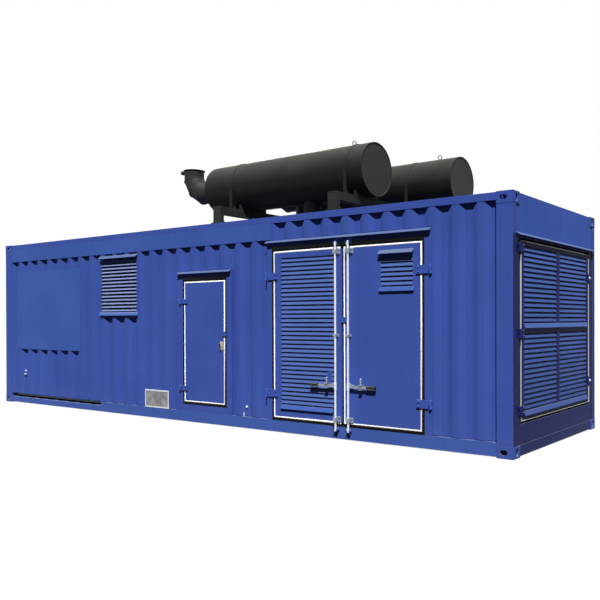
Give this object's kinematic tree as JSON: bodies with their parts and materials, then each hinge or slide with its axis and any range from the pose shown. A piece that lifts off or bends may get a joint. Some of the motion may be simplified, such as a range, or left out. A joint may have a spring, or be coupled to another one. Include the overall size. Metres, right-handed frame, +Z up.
{
  "type": "containerized diesel generator housing",
  "caption": "Long corrugated steel container housing for a diesel generator, with louvred doors on one side and one end and exhaust silencers with rain flaps on its roof.",
  "frame": {"origin": "on the ground under the middle of the container, at the centre of the bottom locking apertures", "axes": "+X along the container to the louvred end door, -Y out of the side with the doors, +Z up"},
  "size_m": [9.155, 2.489, 3.5023],
  "materials": {
    "blue_paint": "semi-gloss",
    "black_paint": "matt",
    "seal_rubber": "matt",
    "zinc": "galvanised",
    "bare_steel": "brushed",
    "floor_plate": "matt"
  },
  "bodies": {
    "container": {"corner_castings": "blue_paint", "corner_posts": "blue_paint", "top_side_rails": "blue_paint", "bottom_side_rails": "blue_paint", "end_rails": "blue_paint", "floor": "floor_plate", "floor_bearers": "blue_paint", "roof": "blue_paint", "front_wall": "blue_paint", "rear_wall": "blue_paint", "left_end_wall": "blue_paint", "cover_panels": "blue_paint", "bare_plate": "bare_steel", "door_frames": "blue_paint", "end_door_frame": "blue_paint", "rain_hoods": "blue_paint", "side_louvre": "blue_paint", "frame_hinges": "blue_paint", "rod_keepers": "blue_paint", "silencers": "black_paint", "lifting_eyes": "zinc", "silencer_straps": "black_paint", "support_posts": "black_paint", "support_beams": "black_paint", "exhaust_elbows": "black_paint", "flap_hinges": "black_paint", "inlet_pipes": "black_paint"},
    "personnel_door": {"personnel_door": "blue_paint", "personnel_door_seal": "seal_rubber", "personnel_door_fittings": "blue_paint", "personnel_door_lock": "zinc"},
    "left_leaf": {"left_leaf": "blue_paint", "left_leaf_louvre": "blue_paint", "left_leaf_seal": "seal_rubber", "left_leaf_fittings": "blue_paint", "left_rod_fittings": "zinc"},
    "left_lock_rod": {"left_lock_rod": "zinc"},
    "right_leaf": {"right_leaf": "blue_paint", "right_leaf_louvre": "blue_paint", "right_leaf_seal": "seal_rubber", "right_leaf_fittings": "blue_paint", "right_rod_fittings": "zinc"},
    "right_lock_rod": {"right_lock_rod": "zinc"},
    "end_door": {"end_door": "blue_paint", "end_door_louvres": "blue_paint", "end_door_seal": "seal_rubber", "end_door_fittings": "blue_paint"},
    "front_rain_flap": {"front_rain_flap": "black_paint"},
    "rear_rain_flap": {"rear_rain_flap": "black_paint"}
  },
  "joints": [
    {"name": "personnel_door_hinge", "type": "hinge", "parent": "container", "child": "personnel_door", "pos_m": [-0.19459, -1.231, 0], "axis": [0, 0, -1], "range_deg": [0, 110]},
    {"name": "left_leaf_hinge", "type": "hinge", "parent": "container", "child": "left_leaf", "pos_m": [1.36305, -1.231, 0], "axis": [0, 0, -1], "range_deg": [0, 115]},
    {"name": "right_leaf_hinge", "type": "hinge", "parent": "container", "child": "right_leaf", "pos_m": [3.65205, -1.231, 0], "axis": [0, 0, 1], "range_deg": [0, 115]},
    {"name": "end_door_hinge", "type": "hinge", "parent": "container", "child": "end_door", "pos_m": [4.5685, -1.065, 0], "axis": [0, 0, -1], "range_deg": [0, 110]},
    {"name": "left_rod_turn", "type": "hinge", "parent": "left_leaf", "child": "left_lock_rod", "pos_m": [2.43105, -1.248, 0], "axis": [0, 0, 1], "range_deg": [0, 90]},
    {"name": "right_rod_turn", "type": "hinge", "parent": "right_leaf", "child": "right_lock_rod", "pos_m": [2.60905, -1.248, 0], "axis": [0, 0, -1], "range_deg": [0, 90]},
    {"name": "front_flap_hinge", "type": "hinge", "parent": "container", "child": "front_rain_flap", "pos_m": [-0.75145, -0.632, 3.4673], "axis": [0, -1, 0], "range_deg": [0, 60]},
    {"name": "rear_flap_hinge", "type": "hinge", "parent": "container", "child": "rear_rain_flap", "pos_m": [-0.29045, 0.632, 3.4673], "axis": [0, -1, 0], "range_deg": [0, 60]}
  ]
}
